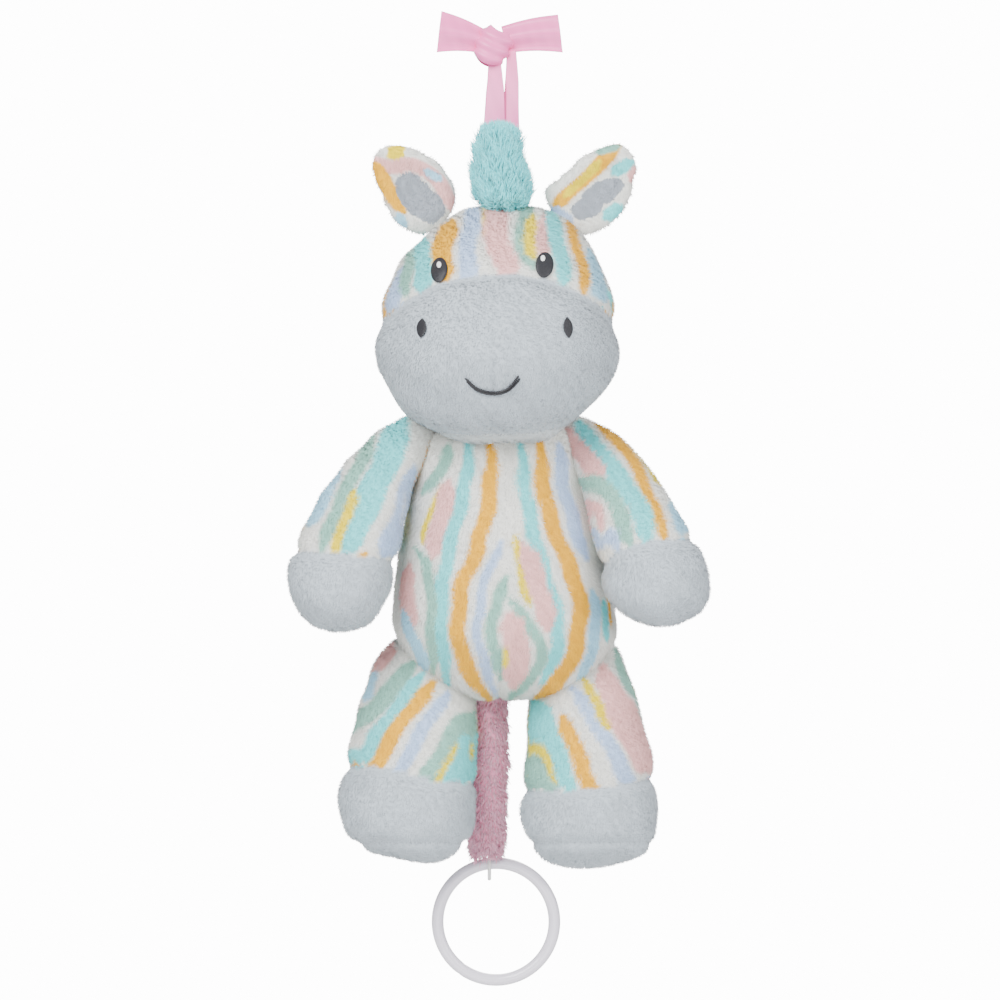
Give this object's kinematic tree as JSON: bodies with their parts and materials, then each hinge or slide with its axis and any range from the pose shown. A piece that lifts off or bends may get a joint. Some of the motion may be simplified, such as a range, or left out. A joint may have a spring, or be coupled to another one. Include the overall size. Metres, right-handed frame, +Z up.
{
  "type": "plush crib toy",
  "caption": "Striped plush unicorn crib toy that hangs by a tied ribbon and plays a tune when its pull ring is drawn down.",
  "frame": {"origin": "under the knot of the hanging ribbon, in the plane of its two straps", "axes": "+Z up along the hanging toy, -Y the way the face looks, +X the toy's own left"},
  "size_m": [0.176, 0.1125, 0.4117],
  "materials": {
    "printed_plush": "matte",
    "grey_plush": "matte",
    "aqua_fur": "matte",
    "pink_fur": "matte",
    "satin_ribbon": "satin",
    "dark_thread": "satin",
    "white_thread": "satin",
    "stuffing": "matte",
    "cord": "matte",
    "ring_plastic": "gloss",
    "case_plastic": "matte",
    "gear_plastic": "matte",
    "steel": "satin",
    "brass": "satin"
  },
  "bodies": {
    "head": {"hanging_ribbon_left": "satin_ribbon", "hanging_ribbon_right": "satin_ribbon", "ribbon_knot": "satin_ribbon", "mane_crest": "aqua_fur", "head_forehead": "printed_plush", "head_back_left": "printed_plush", "head_back_right": "printed_plush", "head_stuffing": "stuffing", "muzzle_cover": "grey_plush", "chin_gusset": "grey_plush", "eye_left": "dark_thread", "eye_right": "dark_thread", "eye_glints": "white_thread", "nostril_left": "dark_thread", "nostril_right": "dark_thread", "mouth_stitching": "dark_thread"},
    "torso": {"torso_front_left": "printed_plush", "torso_front_right": "printed_plush", "torso_back_left": "printed_plush", "torso_back_right": "printed_plush", "torso_stuffing": "stuffing", "case_tray": "case_plastic", "case_cover": "case_plastic", "case_screws": "steel", "cord_bush": "case_plastic", "bedplates": "brass", "comb_bed": "brass", "comb": "steel", "comb_screws": "steel", "spool_axle": "steel", "barrel_axle": "steel", "fly_axle": "steel", "mainspring": "steel"},
    "tail": {"tail_tube": "pink_fur"},
    "cord": {"pull_cord": "cord"},
    "ring": {"pull_ring": "ring_plastic"},
    "spool": {"cord_spool": "gear_plastic"},
    "barrel": {"tune_barrel": "gear_plastic"},
    "fly": {"governor_fly": "gear_plastic"},
    "ear_left": {"ear_left_outer": "printed_plush", "ear_left_lining": "grey_plush"},
    "arm_left": {"arm_left_sleeve": "printed_plush", "arm_left_hoof": "grey_plush", "arm_left_stuffing": "stuffing"},
    "leg_left": {"leg_left_sleeve": "printed_plush", "leg_left_hoof": "grey_plush", "leg_left_sole": "grey_plush", "leg_left_stuffing": "stuffing"},
    "ear_right": {"ear_right_outer": "printed_plush", "ear_right_lining": "grey_plush"},
    "arm_right": {"arm_right_sleeve": "printed_plush", "arm_right_hoof": "grey_plush", "arm_right_stuffing": "stuffing"},
    "leg_right": {"leg_right_sleeve": "printed_plush", "leg_right_hoof": "grey_plush", "leg_right_sole": "grey_plush", "leg_right_stuffing": "stuffing"}
  },
  "joints": [
    {"name": "neck_nod", "type": "hinge", "parent": "head", "child": "torso", "pos_m": [0.001, 0.001, -0.148], "axis": [1, 0, 0], "range_deg": [-8, 8], "stiffness_Nm_per_rad": 0.5},
    {"name": "tail_swing", "type": "hinge", "parent": "torso", "child": "tail", "pos_m": [-0.0045, 0.013, -0.259], "axis": [1, 0, 0], "range_deg": [0, 20], "stiffness_Nm_per_rad": 0.01},
    {"name": "ring_pull", "type": "slide", "parent": "tail", "child": "cord", "axis": [0, 0, -1], "range_m": [0, 0.18], "stiffness_N_per_m": 15, "springref_m": -0.15, "deforming": ["pull_cord"]},
    {"name": "ring_swing", "type": "hinge", "parent": "cord", "child": "ring", "pos_m": [-0.0045, 0.013, -0.3375], "axis": [1, 0, 0], "range_deg": [-60, 60]},
    {"name": "spool_spin", "type": "hinge", "parent": "torso", "child": "spool", "pos_m": [-0.0115, 0.0075, -0.2175], "axis": [0, 1, 0], "range_deg": [0, 1483]},
    {"name": "barrel_spin", "type": "hinge", "parent": "torso", "child": "barrel", "pos_m": [-0.0115, 0.0075, -0.2025], "axis": [0, 1, 0], "range_deg": [-5903, 0]},
    {"name": "fly_spin", "type": "hinge", "parent": "torso", "child": "fly", "pos_m": [-0.0115, 0.0075, -0.19185], "axis": [0, 1, 0], "range_deg": [0, 35370]},
    {"name": "ear_left_flop", "type": "hinge", "parent": "head", "child": "ear_left", "pos_m": [0.027, -0.007, -0.0635], "axis": [0.7071, 0, -0.7071], "range_deg": [-25, 25], "stiffness_Nm_per_rad": 0.02},
    {"name": "arm_left_lift", "type": "hinge", "parent": "torso", "child": "arm_left", "pos_m": [0.036, -0.004, -0.162], "axis": [0, -1, 0], "range_deg": [0, 40]},
    {"name": "leg_left_swing", "type": "hinge", "parent": "torso", "child": "leg_left", "pos_m": [0.0335, 0.009, -0.254], "axis": [-1, 0, 0], "range_deg": [0, 20], "stiffness_Nm_per_rad": 0.05},
    {"name": "ear_right_flop", "type": "hinge", "parent": "head", "child": "ear_right", "pos_m": [-0.027, -0.007, -0.0635], "axis": [-0.7071, 0, -0.7071], "range_deg": [-25, 25], "stiffness_Nm_per_rad": 0.02},
    {"name": "arm_right_lift", "type": "hinge", "parent": "torso", "child": "arm_right", "pos_m": [-0.036, -0.004, -0.162], "axis": [0, 1, 0], "range_deg": [0, 40]},
    {"name": "leg_right_swing", "type": "hinge", "parent": "torso", "child": "leg_right", "pos_m": [-0.0335, 0.009, -0.254], "axis": [-1, 0, 0], "range_deg": [0, 20], "stiffness_Nm_per_rad": 0.05}
  ],
  "couplings": [
    {"joint": "spool_spin", "follows": "ring_pull", "rad_per_m": 142.86},
    {"joint": "barrel_spin", "follows": "ring_pull", "rad_per_m": -571.43},
    {"joint": "fly_spin", "follows": "ring_pull", "rad_per_m": 3428.6}
  ]
}
